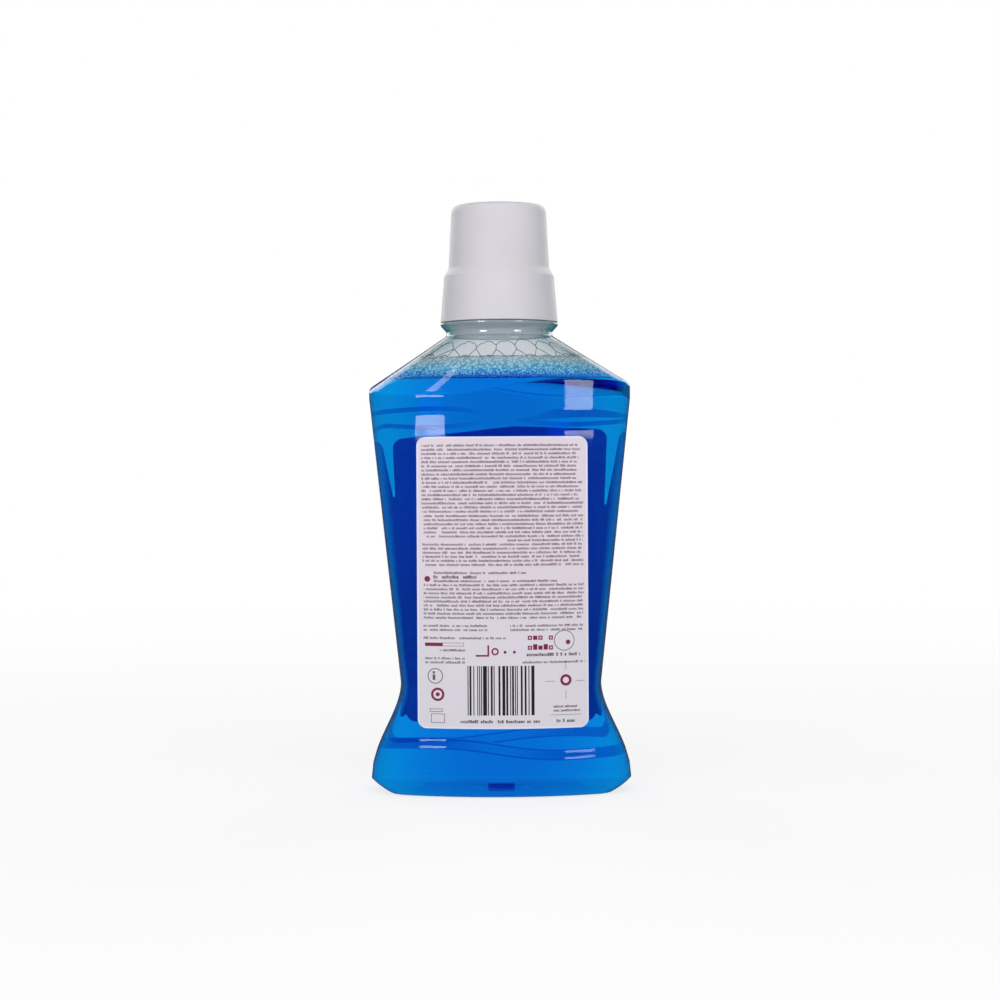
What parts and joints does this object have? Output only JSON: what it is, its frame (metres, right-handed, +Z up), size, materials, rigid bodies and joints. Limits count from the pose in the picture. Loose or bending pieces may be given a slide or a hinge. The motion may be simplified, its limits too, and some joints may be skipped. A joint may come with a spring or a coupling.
{
  "type": "mouthwash bottle",
  "caption": "Waisted clear bottle of blue liquid on an oval foot, with front and back labels and a tall screw-on dosing cap that turns and rises off the neck.",
  "frame": {"origin": "middle of the ring that the bottle stands on", "axes": "+Z up through the neck and the cap, +X along the width, +Y out of the front label; the back label faces -Y"},
  "size_m": [0.0916, 0.054, 0.205],
  "materials": {
    "clear_plastic": "clear, glossy blow-moulded plastic",
    "cap_plastic": "satin off-white moulded plastic",
    "seal_foam": "soft matt foamed plastic",
    "front_film": "smooth printed film",
    "back_film": "smooth printed film",
    "blue_liquid": "clear blue liquid",
    "bubbles": "fine wet bubbles"
  },
  "bodies": {
    "bottle": {"bottle": "clear_plastic", "front_label": "front_film", "back_label": "back_film", "mouthwash": "blue_liquid", "foam": "bubbles"},
    "seal": {"cap_seal": "seal_foam"},
    "cap": {"cap": "cap_plastic"}
  },
  "joints": [
    {"name": "cap_rise", "type": "slide", "parent": "bottle", "child": "seal", "axis": [0, 0, 1], "range_m": [0, 0.018]},
    {"name": "cap_turn", "type": "hinge", "parent": "seal", "child": "cap", "pos_m": [0, 0, 0.17], "axis": [0, 0, 1], "range_deg": [0, 540]}
  ],
  "couplings": [
    {"joint": "cap_rise", "follows": "cap_turn", "m_per_rad": 0.0019099}
  ]
}
